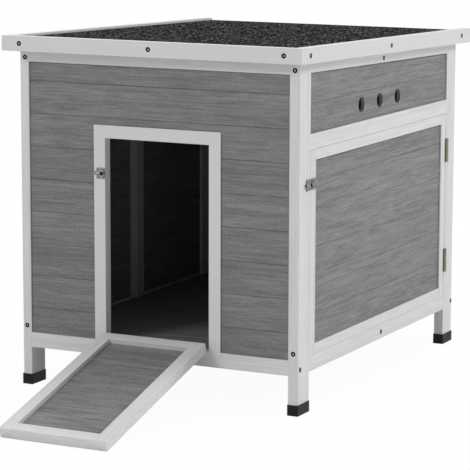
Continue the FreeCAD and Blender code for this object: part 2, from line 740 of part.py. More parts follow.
for end in ("front", "rear"):
    for side in ("left", "right"):
        post(end, side)
        foot_cap(end, side)
    end_rails(end)
    end_boards(end)
for side in ("left", "right"):
    side_rails(side)
doorway()
side_boards()
cabin_inside()
roof()
side_door()
ramp()
door_hinges()
ramp_hinges()
bolts()

doc.recompute()
check()
os.makedirs("parts", exist_ok=True)
for body in pieces:
    body.Shape.exportStep(f"parts/{body.Label}.step")
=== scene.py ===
"""The looks of a raised wooden hen coop: stained timber, mineral felt, black screws and caps, brass and zinc."""

import math

import bmesh
import bpy
from mathutils import Matrix, Vector


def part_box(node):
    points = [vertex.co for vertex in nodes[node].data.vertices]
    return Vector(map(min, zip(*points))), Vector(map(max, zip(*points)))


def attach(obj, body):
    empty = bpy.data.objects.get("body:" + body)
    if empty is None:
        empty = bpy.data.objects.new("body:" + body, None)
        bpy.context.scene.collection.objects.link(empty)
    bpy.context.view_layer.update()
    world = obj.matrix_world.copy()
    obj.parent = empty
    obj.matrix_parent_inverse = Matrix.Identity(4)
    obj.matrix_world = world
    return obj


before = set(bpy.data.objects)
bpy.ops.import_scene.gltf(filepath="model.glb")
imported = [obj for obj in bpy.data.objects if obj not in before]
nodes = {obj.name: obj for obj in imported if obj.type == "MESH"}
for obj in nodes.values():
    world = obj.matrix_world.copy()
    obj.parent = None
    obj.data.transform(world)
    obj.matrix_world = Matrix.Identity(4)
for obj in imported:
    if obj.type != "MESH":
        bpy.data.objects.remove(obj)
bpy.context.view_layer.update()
scene = bpy.context.scene

MM = 0.001

# The cabin's own corner, from which places are counted as in the frame: x from the left, y from the front face.
CABIN_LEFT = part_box("post_front_left")[0].x
CABIN_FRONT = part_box("post_front_left")[0].y

# Sizes that the screws and fittings are placed by, in millimetres from that corner and from the ground.
CABIN_WIDE, CABIN_DEEP = 610, 790
FASCIA_THICK, FASCIA_FACE, FASCIA_SCREW_HEIGHT = 20, -35, 689
BOLT_HEIGHT, FRONT_BOLT_LEFT, SIDE_BOLT_FRONT = 439.5, 173, 31
PLATE_THICK, FLAP_THICK = 1, 0.9
PIN_AHEAD, PIN_HEIGHT = 2.4, 104.9
POST_LEAF_FACE, DOOR_LEAF_FACE = 739.3, 739.2

# How far the lowered ramp slopes down from its hinge pin.
RAMP_TILT = math.radians(15.417)

# Boards: the place of the first joint of a wall or floor and the pitch of its boards, in metres.
WALL_JOINTS = (0.1596, 0.06485)
DOOR_JOINTS = (0.1851, 0.0647)
UPPER_JOINTS = (0.5929, 0.06485)
FLOOR_JOINTS = (CABIN_FRONT + 0.11375, 0.09375)
JOINT_HALF = 1.2 * MM

# Linear colours.
WHITE_STAIN = (0.640, 0.640, 0.640)
GREY_STAIN = (0.196, 0.196, 0.196)
GREY_SIDE = (0.208, 0.208, 0.208)
INNER_STAIN = (0.220, 0.220, 0.222)
SOFTWOOD = (0.330, 0.300, 0.255)
BITUMEN = (0.0035, 0.0035, 0.0035)
GRANULE_DARK = (0.0085, 0.0085, 0.0085)
GRANULE_LIGHT = (0.120, 0.120, 0.121)
CAP_BLACK = (0.0125, 0.0125, 0.0128)
KNOB_BLACK = (0.002, 0.002, 0.002)
SCREW_BLACK = (0.003, 0.003, 0.003)
SCREW_WORN = (0.020, 0.020, 0.020)
ZINC = (0.270, 0.270, 0.266)
ROD_STEEL = (0.140, 0.140, 0.138)
BRASS = (0.310, 0.297, 0.212)


def at(x, y, z):
    """A place given in millimetres from the cabin's left face, its front face and the ground."""
    return Vector((CABIN_LEFT + x * MM, CABIN_FRONT + y * MM, z * MM))


class Tree:
    """The node tree of a material or a world, with short ways to add nodes and join them."""

    def __init__(self, owner):
        self.material = owner
        owner.use_nodes = True
        self.links = owner.node_tree.links
        self.all = owner.node_tree.nodes
        self.shader = self.all.get("Principled BSDF")

    @classmethod
    def of_material(cls, name):
        """The tree of a new material."""
        return cls(bpy.data.materials.new(name))

    def add(self, kind, inputs=None, **settings):
        """A node with its settings, its inputs given as sockets to join or as plain values."""
        node = self.all.new(kind)
        for name, setting in settings.items():
            setattr(node, name, setting)
        for name, source in (inputs or {}).items():
            self.feed(node.inputs[name], source)
        return node

    def feed(self, socket, source):
        """Join a socket to another, or set its value."""
        if isinstance(source, bpy.types.NodeSocket):
            self.links.new(source, socket)
        else:
            socket.default_value = source

    def maths(self, operation, *values):
        """The result of a sum on sockets and numbers."""
        node = self.add("ShaderNodeMath", dict(enumerate(values)), operation=operation)
        return node.outputs[0]

    def stretched(self, vector, scale):
        """A place scaled along its three axes."""
        return self.add("ShaderNodeMapping", {"Vector": vector, "Scale": scale}).outputs["Vector"]

    def part(self, vector, axis):
        """One coordinate of a place."""
        return self.add("ShaderNodeSeparateXYZ", {"Vector": vector}).outputs[axis]

    def fade(self, value, start, end, from_tone, to_tone=1.0, **settings):
        """A value that runs from one tone to another between a start and an end."""
        inputs = {"Value": value, "From Min": start, "From Max": end, "To Min": from_tone, "To Max": to_tone}
        return self.add("ShaderNodeMapRange", inputs, **settings).outputs["Result"]

    def ramp(self, factor, stops):
        """A colour that follows a factor through stops of (place, colour)."""
        node = self.add("ShaderNodeValToRGB", {"Fac": factor})
        band = node.color_ramp.elements
        while len(band) < len(stops):
            band.new(0.5)
        for element, (place, colour) in zip(band, stops):
            element.position = place
            element.color = (*colour, 1)
        return node.outputs["Color"]

    def noise(self, vector, scale=1.0, detail=2.0, roughness=0.5, w=0.0):
        """Four-dimensional noise, so that each board can have a cut of its own."""
        inputs = {"Vector": vector, "W": w, "Scale": scale, "Detail": detail, "Roughness": roughness}
        return self.add("ShaderNodeTexNoise", inputs, noise_dimensions="4D").outputs["Fac"]

    def seen(self):
        """One for the rays that show the background: those of the camera, of reflections and through glass."""
        path = self.add("ShaderNodeLightPath").outputs
        reflected = self.maths("MAXIMUM", path["Is Glossy Ray"], path["Is Transmission Ray"])
        return self.maths("MAXIMUM", path["Is Camera Ray"], reflected)

    def bump(self, height, distance):
        """Relief from a height, its full depth given in metres."""
        inputs = {"Height": height, "Distance": distance, "Strength": 1.0}
        return self.add("ShaderNodeBump", inputs).outputs["Normal"]

    def set(self, **values):
        """Feed the shader's own sockets, named with underscores for spaces."""
        for name, source in values.items():
            self.feed(self.shader.inputs[name.replace("_", " ")], source)


def scaled(colour, factor):
    """A colour made darker or lighter."""
    return tuple(min(channel * factor, 1) for channel in colour)


def object_place(tree, turn=0.0):
    """The place on the object, turned about X so that a tilted timber's length lies along an axis."""
    place = tree.add("ShaderNodeTexCoord").outputs["Object"]
    if turn:
        mapping = tree.add("ShaderNodeMapping", {"Vector": place, "Rotation": (turn, 0, 0)})
        place = mapping.outputs["Vector"]
    return place


def board_number(tree, place, axis, joints):
    """A whole number for each board, one for the nearest joint, and the distance to that joint in metres."""
    first, pitch = joints
    counted = tree.maths("DIVIDE", tree.maths("SUBTRACT", tree.part(place, axis), first), pitch)
    number = tree.maths("FLOOR", counted)
    joint_index = tree.maths("ROUND", counted)
    nearest = tree.maths("ABSOLUTE", tree.maths("SUBTRACT", counted, joint_index))
    return number, joint_index, tree.maths("MULTIPLY", nearest, pitch)


# The layers of a timber's figure: noise scales along and across the grain, detail and weight.
ROUGH_FIGURE = ((2.5, 80, 3, 0.5), (8, 300, 3, 0.7), (30, 700, 2, 0.9), (250, 700, 2, 0.7))
PLANED_FIGURE = ((0.7, 110, 3, 0.8), (2.5, 420, 2, 0.9), (20, 900, 2, 0.4))
LAYER_ROUGHNESS = 0.6

# Knots: cells along and across the grain, and the distances from a cell's middle where a knot is full and gone.
KNOT_CELLS = (2.6, 9)
KNOT_FULL, KNOT_GONE = 0.05, 0.17

# Growth rings: the noise that bends them, how far a knot pushes them, their number and their weight.
RING_BEND = (2.2, 16)
RING_PUSH, RING_COUNT, RING_WEIGHT = 0.12, 62, 0.05

# What all timber shares: its surface, the step in the noise from one board to the next, the range of tones between
# boards, and the places of dark, own and light colour in the figure.
WOOD_ROUGHNESS, WOOD_SPECULAR, WOOD_RELIEF = 0.55, 0.12, 0.12 * MM
CUT_STEP = 7.31
BOARD_SHADE = 0.05
DARK_STOP, OWN_STOP, LIGHT_STOP = 0.2, 0.5, 0.8


def grain(tree, place, length_axis, cut, layers):
    """Growth rings bent round a few knots, soft bands, streaks and fine fibres along a timber.

    The first result is a factor about one half, the second is how deep in a knot the place lies.
    """
    def stretched(along, across):
        scale = [across] * 3
        scale["XYZ".index(length_axis)] = along
        return tree.stretched(place, scale)

    knots = tree.add("ShaderNodeTexVoronoi", {"Vector": stretched(*KNOT_CELLS), "W": cut, "Scale": 1.0},
                     voronoi_dimensions="4D", feature="F1").outputs["Distance"]
    knot = tree.fade(knots, KNOT_FULL, KNOT_GONE, 1.0, 0.0, interpolation_type="SMOOTHSTEP")
    bend = tree.noise(stretched(*RING_BEND), detail=2, w=cut)
    bend = tree.maths("MULTIPLY_ADD", knot, RING_PUSH, bend)
    rings = tree.maths("SINE", tree.maths("MULTIPLY", bend, RING_COUNT))
    figure = tree.maths("MULTIPLY_ADD", rings, RING_WEIGHT, 0.5)
    for along, across, detail, weight in layers:
        layer = tree.noise(stretched(along, across), detail=detail, roughness=LAYER_ROUGHNESS, w=cut)
        layer = tree.maths("SUBTRACT", layer, 0.5)
        figure = tree.maths("MULTIPLY_ADD", layer, weight, figure)
    return figure, knot


# Painted shadow in narrow lines where the boards sit back from the bars round them.
# Rims: the share of a rim's width that is fully dark, and the width and depth on the walls and on the right side.
RIM_CORE = 0.3
WALL_RIM_WIDTH, SIDE_RIM_WIDTH = 2.4 * MM, 3.6 * MM
WALL_SHADE_DEPTH, SIDE_SHADE_DEPTH = 0.35, 0.6

# How far the painted shadow rim over the doorway lies behind the head, where it doesn't show.
HEAD_LAP = 5 * MM


def painted_rim_shade(tree, place, shade_rims):
    """Painted shadow: a tone that dips in narrow lines along the borders of rectangles, where boards meet the bars
    round them.

    Each rim is a rectangle in the object's own frame: two axes, low and high corner, depth of the dip, its width,
    and how much its second axis rises along the first.
    """
    split = tree.add("ShaderNodeSeparateXYZ", {"Vector": place})
    tone = 1.0
    for axes, low, high, depth, width, slope in shade_rims:
        reaches = []
        for axis, skew in zip(axes, (0.0, slope)):
            start, end = (getattr(corner, axis.lower()) for corner in (low, high))
            middle = tree.maths("MULTIPLY_ADD", split.outputs[axes[0]], skew, (start + end) / 2)
            offset = tree.maths("ABSOLUTE", tree.maths("SUBTRACT", split.outputs[axis], middle))
            reaches.append(tree.maths("SUBTRACT", offset, (end - start) / 2))
        distance = tree.maths("ABSOLUTE", tree.maths("MAXIMUM", *reaches))
        tone = tree.maths("MULTIPLY", tree.fade(distance, RIM_CORE * width, width, 1 - depth), tone)
    return tone


# The bored vents, painted dark inside: how deep from the wall's face their lit end reaches, how softly it ends and
# the painted shade's tone beyond.
VENT_LIT = 7.5 * MM
VENT_BLUR = 1.0 * MM
VENT_SHADE_TONE = 0.03

# The share of a joint's half width that is fully in its painted light, which lifts the shade of the vee groove.
JOINT_CORE = 0.7


def wood(name, colour, length_axis, contrast, joints=None, joint_axis="Z", turn=0.0, knot_shade=0.25,
         painted_joint_lights=(1.05, 1.05), layers=ROUGH_FIGURE, vent_shade_below=None, shade_rims=()):
    """Stained timber with its grain along an axis, in boards of their own tone where joints are given.

    The joint factors, for even and odd joints, are painted light that lifts the shade in the vee grooves. Where the
    vent depth is given, the timber is nearly black at X below it: painted shade in the unlit end of a bored hole.
    """
    tree = Tree.of_material(name)
    place = object_place(tree, turn)
    cut = 0.0
    if joints:
        number, joint_index, joint_distance = board_number(tree, place, joint_axis, joints)
        cut = tree.maths("MULTIPLY", number, CUT_STEP)
    figure, knot = grain(tree, place, length_axis, cut, layers)
    shade = tree.ramp(figure, [(DARK_STOP, scaled(colour, 1 - contrast)), (OWN_STOP, colour),
                               (LIGHT_STOP, scaled(colour, 1 + contrast))])
    tone = tree.maths("MULTIPLY_ADD", knot, -knot_shade, 1.0)
    if joints:
        own = tree.add("ShaderNodeTexWhiteNoise", {"W": number}, noise_dimensions="1D").outputs["Value"]
        tone = tree.maths("MULTIPLY", tone, tree.maths("MULTIPLY_ADD", own, BOARD_SHADE, 1 - BOARD_SHADE / 2))
        # Painted light: the joints are made lighter to lift the shade in their vee grooves, more at odd joints on the
        # door.
        odd = tree.maths("PINGPONG", joint_index, 1.0)
        even_light, odd_light = painted_joint_lights
        painted_joint_light = tree.maths("MULTIPLY_ADD", odd, odd_light - even_light, even_light)
        joint_lift = tree.fade(joint_distance, JOINT_HALF * JOINT_CORE, JOINT_HALF, painted_joint_light)
        tone = tree.maths("MULTIPLY", tone, joint_lift)
    # Painted shadow in lines where the boards meet the bars round them.
    if shade_rims:
        tone = tree.maths("MULTIPLY", tone, painted_rim_shade(tree, place, shade_rims))
    # Painted shade: the wood is nearly black deep inside the bored vents.
    if vent_shade_below:
        vent_shade = tree.fade(tree.part(place, "X"), vent_shade_below - VENT_BLUR, vent_shade_below + VENT_BLUR, VENT_SHADE_TONE)
        tone = tree.maths("MULTIPLY", tone, vent_shade)
    mix = tree.add("ShaderNodeVectorMath", {0: shade, "Scale": tone}, operation="SCALE")
    tree.set(Base_Color=mix.outputs["Vector"], Roughness=WOOD_ROUGHNESS, Specular_IOR_Level=WOOD_SPECULAR)
    tree.set(Normal=tree.bump(figure, WOOD_RELIEF))
    return tree.material


# Felt: granules and thicker patches per metre along each axis, how much a patch shifts the tint, where the dark
# granules end and the light ones begin, how much brighter the lightest is, and the granules' height.
GRANULE_CELLS = (360, 240, 360)
PATCH_CELLS = (150, 40, 150)
PATCH_WEIGHT = 0.6
DARK_END, LIGHT_START = 0.70, 0.80
LIGHTEST = 1.8
GRANULE_HEIGHT = 0.9 * MM


def felt():
    """Bitumen felt thick with mineral granules: mostly dark ones, and a scatter of light ones."""
    tree = Tree.of_material("roofing_felt")
    place = object_place(tree)
    granules = tree.stretched(place, GRANULE_CELLS)
    cells = tree.add("ShaderNodeTexVoronoi", {"Vector": granules, "Scale": 1.0}, feature="F1")
    tint = tree.add("ShaderNodeSeparateColor", {"Color": cells.outputs["Color"]}).outputs[0]
    thick = tree.noise(tree.stretched(place, PATCH_CELLS), detail=2, roughness=0.5)
    tone = tree.maths("MULTIPLY_ADD", tree.maths("SUBTRACT", thick, 0.5), PATCH_WEIGHT, tint)
    colour = tree.ramp(tone, [(0.0, BITUMEN), (DARK_END, GRANULE_DARK), (LIGHT_START, GRANULE_LIGHT),
                              (1.0, scaled(GRANULE_LIGHT, LIGHTEST))])
    tree.set(Base_Color=colour, Roughness=0.95, Specular_IOR_Level=0.0)
    dome = tree.maths("SUBTRACT", 1.0, cells.outputs["Distance"])
    tree.set(Normal=tree.bump(dome, GRANULE_HEIGHT))
    return tree.material


# Plastic and plating: the scales of the fine skin and of the wear, how much roughness wear brings and how
# much less there is without it, and the stops of the colour as (place, tone).
SKIN_SCALE, WEAR_SCALE = 1800, 60
WEAR_ROUGHNESS, WEAR_LESS = 0.15, 0.07
WEAR_STOPS = ((0.35, 0.8), (0.7, 1.5))


def moulded(name, colour, roughness, relief=0.05, sheen=0.12):
    """Moulded plastic or black plating with a fine matt skin, its relief in millimetres."""
    tree = Tree.of_material(name)
    place = object_place(tree)
    skin = tree.noise(place, scale=SKIN_SCALE, detail=2)
    wear = tree.noise(place, scale=WEAR_SCALE, detail=3)
    tree.set(Base_Color=tree.ramp(wear, [(stop, scaled(colour, tone)) for stop, tone in WEAR_STOPS]))
    rough = tree.maths("MULTIPLY_ADD", wear, WEAR_ROUGHNESS, roughness - WEAR_LESS)
    tree.set(Roughness=rough, Specular_IOR_Level=sheen)
    tree.set(Normal=tree.bump(skin, relief * MM))
    return tree.material


# Sheet metal: the scales of the brushed lines and of the stains, the range of roughness, the lines' depth, the places
# of stained and clean colour, and the tone where it is clean.
BRUSH_SCALE, STAIN_SCALE = (300, 300, 2600), 130
BRUSH_ROUGHNESS = 0.2
BRUSH_DEPTH = 0.01 * MM
STAIN_STOP, CLEAN_STOP = 0.3, 0.65
CLEAN_TONE = 1.05


def metal(name, colour, roughness, patina=0.25):
    """Plated sheet metal, faintly brushed and stained."""
    tree = Tree.of_material(name)
    place = object_place(tree)
    lines = tree.noise(tree.stretched(place, BRUSH_SCALE), detail=2)
    stain = tree.noise(place, scale=STAIN_SCALE, detail=4, roughness=0.6)
    tree.set(Base_Color=tree.ramp(stain, [(STAIN_STOP, scaled(colour, 1 - patina)),
                                          (CLEAN_STOP, scaled(colour, CLEAN_TONE))]))
    rough = tree.maths("MULTIPLY_ADD", lines, BRUSH_ROUGHNESS, roughness - BRUSH_ROUGHNESS / 2)
    tree.set(Metallic=1.0, Roughness=rough)
    tree.set(Normal=tree.bump(lines, BRUSH_DEPTH))
    return tree.material


def coat(material, *names):
    """Give a material to nodes."""
    for name in names:
        mesh = nodes[name].data
        mesh.materials.clear()
        mesh.materials.append(material)


# Bevels in millimetres, and what they are made with: corners joined within a reach, and edges sharper than an angle.
TIMBER_EDGE, CAP_EDGE, PLATE_EDGE = 0.3, 0.6, 0.25
WELD_REACH = 0.002 * MM
SHARP_ANGLE = math.radians(35)


def soften(width, *names):
    """Take the sharpness off a node's edges: joined corners, then a narrow bevel."""
    for name in names:
        piece = nodes[name]
        weld = piece.modifiers.new("weld", "WELD")
        weld.merge_threshold = WELD_REACH
        bevel = piece.modifiers.new("soft_edges", "BEVEL")
        bevel.width = width * MM
        bevel.segments = 2
        bevel.limit_method = "ANGLE"
        bevel.angle_limit = SHARP_ANGLE
        bevel.harden_normals = False


UPRIGHT = ["post_front_left", "post_front_right", "post_rear_left", "post_rear_right", "doorway_jamb_left",
           "doorway_jamb_right", "door_stile_front", "door_stile_rear"]
ACROSS = ["bottom_rail_front", "bottom_rail_rear", "top_rail_front", "top_rail_rear", "doorway_head",
          "fascia_front"]
ALONG = ["bottom_rail_left", "bottom_rail_right", "middle_rail_right", "top_rail_left", "top_rail_right",
         "fascia_left", "fascia_right", "door_rail_bottom", "door_rail_top"]
RAMP_ALONG = ["ramp_stile_left", "ramp_stile_right"]
RAMP_ACROSS = ["ramp_rail_hinge_end", "ramp_rail_free_end"]
CAPS = ["foot_cap_front_left", "foot_cap_front_right", "foot_cap_rear_left", "foot_cap_rear_right"]
PLATES = ["front_bolt_plate", "side_bolt_plate", "door_keeper", "ramp_keeper"]
HINGES = ["door_hinge_post_leaves", "door_hinge_door_leaves", "door_hinge_pins", "ramp_hinge_wall_leaves",
          "ramp_hinge_ramp_leaves", "ramp_hinge_pins"]


def planed(name, length_axis, contrast=0.11, turn=0.0, colour=WHITE_STAIN):
    """A smooth bar in the white stain, with long straight lines."""
    return wood(name, colour, length_axis, contrast, turn=turn, knot_shade=0.10, layers=PLANED_FIGURE)


def opening(board, axes, low, high, depth=WALL_SHADE_DEPTH, width=WALL_RIM_WIDTH, slope=0.0):
    """A rim of painted shadow for a board's material, its rectangle given by two world corners."""
    own = nodes[board].matrix_world.inverted()
    return axes, own @ Vector(low), own @ Vector(high), depth, width, slope


def side_opening(board, front, rear, above, depth):
    """The painted shadow rim of a panel of boards in a side wall, up to the foot of the bar above it, which may
    slope.

    Its ends are the bars at the front and the rear. Its lower side, where the light falls, lies out of reach.
    """
    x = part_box(board)[0].x
    start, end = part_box(front)[1].y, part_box(rear)[0].y
    bar = nodes[above]
    feet = sorted((bar.matrix_world @ vertex.co for vertex in bar.data.vertices), key=lambda place: place.y)
    front_foot = min(place.z for place in feet if place.y < feet[0].y + MM)
    rear_foot = min(place.z for place in feet if place.y > feet[-1].y - MM)
    slope = (rear_foot - front_foot) / (feet[-1].y - feet[0].y)
    own = bar.matrix_world.inverted() @ nodes[board].matrix_world
    assert own.is_identity or abs(slope) < 0.001, board
    high = (x, end, front_foot - slope * feet[0].y)
    return opening(board, "YZ", (x, start, 0), high, depth, SIDE_RIM_WIDTH, slope)


# The contrast of the figure on smooth bars, and the batten's tone beside the white stain: a darker copy, painted
# shade inside the cabin.
PLAIN = 0.025
BATTEN_SHADE_TONE = 0.75


def dress_bars():
    """The white bars, with the grain along each, and a plainer stain on those that the photo shows smooth."""
    coat(planed("white_upright", "Z"), *UPRIGHT)
    # The batten inside takes a darker copy of the white stain: painted shade.
    coat(planed("batten_white_shaded", "Z", colour=scaled(WHITE_STAIN, BATTEN_SHADE_TONE)), "left_wall_batten")
    coat(planed("white_across", "X"), *ACROSS, *RAMP_ACROSS)
    coat(planed("white_along", "Y"), *ALONG)
    coat(planed("white_ramp", "Y", 0.06, turn=-RAMP_TILT), *RAMP_ALONG)
    coat(planed("jamb_white", "Z", PLAIN), "doorway_jamb_left", "doorway_jamb_right")
    coat(planed("head_white", "X", PLAIN), "doorway_head", "fascia_front")
    coat(planed("fascia_white", "Y", PLAIN), "fascia_left", "fascia_right")


def dress_boards():
    """The grey boards, with the grain along the wall and a line of painted shadow where they meet the bars, and the
    floor.
    """
    left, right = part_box("post_front_left")[1].x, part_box("post_front_right")[0].x
    wall = opening("front_boards", "XZ", (left, 0, 0), (right, 0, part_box("top_rail_front")[0].z))
    jamb_left, jamb_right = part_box("doorway_jamb_left")[0].x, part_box("doorway_jamb_right")[1].x
    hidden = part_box("doorway_head")[1].z - HEAD_LAP
    doorway = opening("front_boards", "XZ", (jamb_left, 0, 0), (jamb_right, 0, hidden))
    coat(wood("grey_front", GREY_STAIN, "X", 0.34, WALL_JOINTS, shade_rims=(wall, doorway)), "front_boards")
    coat(wood("grey_rear", GREY_STAIN, "X", 0.36, WALL_JOINTS, shade_rims=(wall,)), "rear_boards")
    rim = side_opening("left_boards", "post_front_left", "post_rear_left", "top_rail_left", WALL_SHADE_DEPTH)
    coat(wood("grey_left", GREY_STAIN, "Y", 0.36, WALL_JOINTS, shade_rims=(rim,)), "left_boards")
    rim = side_opening("right_upper_boards", "post_front_right", "post_rear_right", "top_rail_right", SIDE_SHADE_DEPTH)
    # Where the vents' painted shade begins, behind the boards' outer face.
    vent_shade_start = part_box("right_upper_boards")[1].x - VENT_LIT
    coat(wood("grey_upper", GREY_SIDE, "Y", 0.36, UPPER_JOINTS, painted_joint_lights=(1.2, 1.2), vent_shade_below=vent_shade_start,
              shade_rims=(rim,)), "right_upper_boards")
    rim = side_opening("door_boards", "door_stile_front", "door_stile_rear", "door_rail_top", SIDE_SHADE_DEPTH)
    coat(wood("grey_door", GREY_SIDE, "Y", 0.36, DOOR_JOINTS, painted_joint_lights=(1.15, 1.4), shade_rims=(rim,)), "door_boards")
    coat(wood("grey_ramp", GREY_STAIN, "X", 0.42, turn=-RAMP_TILT), "ramp_panel")
    coat(wood("floor", INNER_STAIN, "X", 0.2, FLOOR_JOINTS, "Y"), "floor_boards")
    coat(wood("bearers", SOFTWOOD, "Y", 0.15), "floor_bearers")
    coat(wood("roof_deck", SOFTWOOD, "Y", 0.15), "roof_board")


def dress_fittings():
    """Felt, caps, knobs, latches and hinges."""
    coat(felt(), "roofing_felt")
    coat(moulded("cap_plastic", CAP_BLACK, 0.5), *CAPS)
    soften(CAP_EDGE, *CAPS)
    coat(moulded("knob_plastic", KNOB_BLACK, 0.4, relief=0.01), "front_bolt_knob", "side_bolt_knob")
    coat(metal("zinc_plate", ZINC, 0.42), *PLATES)
    coat(metal("rod_steel", ROD_STEEL, 0.42), "front_bolt_rod", "side_bolt_rod")
    soften(PLATE_EDGE, *PLATES)
    coat(metal("brass_plate", BRASS, 0.38), *HINGES)


# A screw head: corners round it and rings, how much of its rise is lost towards the rim, and its cross recess as
# shares of the radius.
SCREW_CORNERS, SCREW_RINGS = 32, 9
DOME_DROP = 0.55
SLOT_WIDTH, SLOT_REACH, SLOT_DEPTH = 0.26, 0.36, 0.22

# The turn of each head against the one before, in radians.
SCREW_TURN = 0.9


def screw_mesh(radius, rise, depth):
    """A low domed head with a cross recess, standing along +Z on its own foot plane.

    The faces that reach below the dome's own height take the second material.
    """
    head = bmesh.new()
    rows = []
    for ring in range(1, SCREW_RINGS + 1):
        distance = radius * ring / SCREW_RINGS
        row = []
        for corner in range(SCREW_CORNERS):
            angle = math.tau * corner / SCREW_CORNERS
            x, y = distance * math.cos(angle), distance * math.sin(angle)
            slot = min(abs(x), abs(y)) < SLOT_WIDTH * radius / 2 and distance < SLOT_REACH * radius
            height = rise * (1 - (distance / radius) ** 4 * DOME_DROP) - (depth if slot else 0)
            row.append(head.verts.new((x, y, height)))
        rows.append(row)
    rows.append([head.verts.new((vertex.co.x, vertex.co.y, 0)) for vertex in rows[-1]])
    middle = head.verts.new((0, 0, rise - depth))
    for corner in range(SCREW_CORNERS):
        following = (corner + 1) % SCREW_CORNERS
        head.faces.new((middle, rows[0][corner], rows[0][following]))
        for inner, outer in zip(rows, rows[1:]):
            head.faces.new((inner[corner], outer[corner], outer[following], inner[following]))
    for face in head.faces:
        face.material_index = int(min(vertex.co.z for vertex in face.verts) < rise - 0.8 * depth)
        face.smooth = False
    mesh = bpy.data.meshes.new("screw")
    head.to_mesh(mesh)
    head.free()
    return mesh


def screws(name, body, materials, spots, radius=4.8, rise=0.6, depth=None):
    """One piece of many screw heads, each at a spot (place, outward direction) with a turn of its own.

    The sizes are in millimetres, and the materials are those of the head and of its recess.
    """
    pattern = screw_mesh(radius * MM, rise * MM, (depth or SLOT_DEPTH * radius) * MM)
    group = bmesh.new()
    for index, (place, outward) in enumerate(spots):
        turn = Matrix.Rotation(SCREW_TURN * index, 4, "Z")
        stand = outward.to_track_quat("Z", "Y").to_matrix().to_4x4()
        part = pattern.copy()
        part.transform(Matrix.Translation(place) @ stand @ turn)
        group.from_mesh(part)
        bpy.data.meshes.remove(part)
    mesh = bpy.data.meshes.new(name)
    group.to_mesh(mesh)
    group.free()
    for material in materials:
        mesh.materials.append(material)
    piece = bpy.data.objects.new(name, mesh)
    scene.collection.objects.link(piece)
    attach(piece, body)


FORWARD, BACKWARD = Vector((0, -1, 0)), Vector((0, 1, 0))
LEFTWARD, RIGHTWARD = Vector((-1, 0, 0)), Vector((1, 0, 0))
RAMP_UNDERSIDE = Vector((0, math.sin(RAMP_TILT), -math.cos(RAMP_TILT)))

# The black screws, in millimetres: (x, z) on the front, repeated on the rear, and (y, z) on both sides.
FRAME_FRONT_SCREWS = ((10.0, 120.5), (600.5, 120.5), (11.8, 659.4), (600.4, 659.4))
FRAME_SIDE_SCREWS = ((11.2, 88.8), (399, 91), (785, 88.6), (396, 652))
FASCIA_FRONT_SCREWS = (20.1, 307.6, 593.4)
FASCIA_SIDE_SCREWS = ((5.6, 687.8), (388, 678.5), (771.6, 670.7))

# The screws of a bolt and its keeper: places along the bolt's travel from its start, and up and down from its rod.
BOLT_COLUMNS, KEEPER_COLUMNS = (3.2, 15.8), (25.6, 47.5)
BOLT_ROWS = (-7.6, 7.6)
SMALL_SCREW = {"radius": 2.1, "rise": 0.5}

# The screws of the ramp's hinges: places across the ramp, and their distance from the hinge pin.
FLAP_COLUMNS = (239, 261, 351, 373)
FLAP_REACH = 13
FLAP_SCREW = {"radius": 2.3, "rise": 0.5}

# The screws of the side door's hinges, nearly flush: the feet of the leaves, and (x, height above the foot).
BUTT_FEET = (161, 401)
BUTT_SPOTS = ((597.5, 8.5), (604, 25), (597.5, 41.5))
BUTT_SCREW = {"radius": 2.4, "rise": 0.04, "depth": 0.02}


def timber_screws():
    """The black screws that hold the frame and fascias together, on all four sides."""
    black = moulded("screw_black", SCREW_BLACK, 0.45, relief=0.005, sheen=0.1)
    worn = moulded("screw_recess", SCREW_WORN, 0.6, relief=0.005)
    spots = []
    for x, z in FRAME_FRONT_SCREWS:
        spots.append((at(x, 0, z), FORWARD))
        spots.append((at(x, CABIN_DEEP, z), BACKWARD))
    for y, z in FRAME_SIDE_SCREWS:
        spots.append((at(CABIN_WIDE, y, z), RIGHTWARD))
        spots.append((at(0, y, z), LEFTWARD))
    screws("frame_screws", "cabin", (black, worn), spots)
    spots = [(at(x, FASCIA_FACE, FASCIA_SCREW_HEIGHT), FORWARD) for x in FASCIA_FRONT_SCREWS]
    for y, z in FASCIA_SIDE_SCREWS:
        spots.append((at(CABIN_WIDE + FASCIA_THICK, y, z), RIGHTWARD))
        spots.append((at(-FASCIA_THICK, y, z), LEFTWARD))
    screws("fascia_screws", "cabin", (black, worn), spots)


def under_ramp(x, along, inward):
    """A place under the lowered ramp: across it, along it from the hinge pin, and in from the pin's own level."""
    run, rise = math.cos(RAMP_TILT), math.sin(RAMP_TILT)
    return at(x, -PIN_AHEAD - along * run - inward * rise, PIN_HEIGHT - along * rise + inward * run)


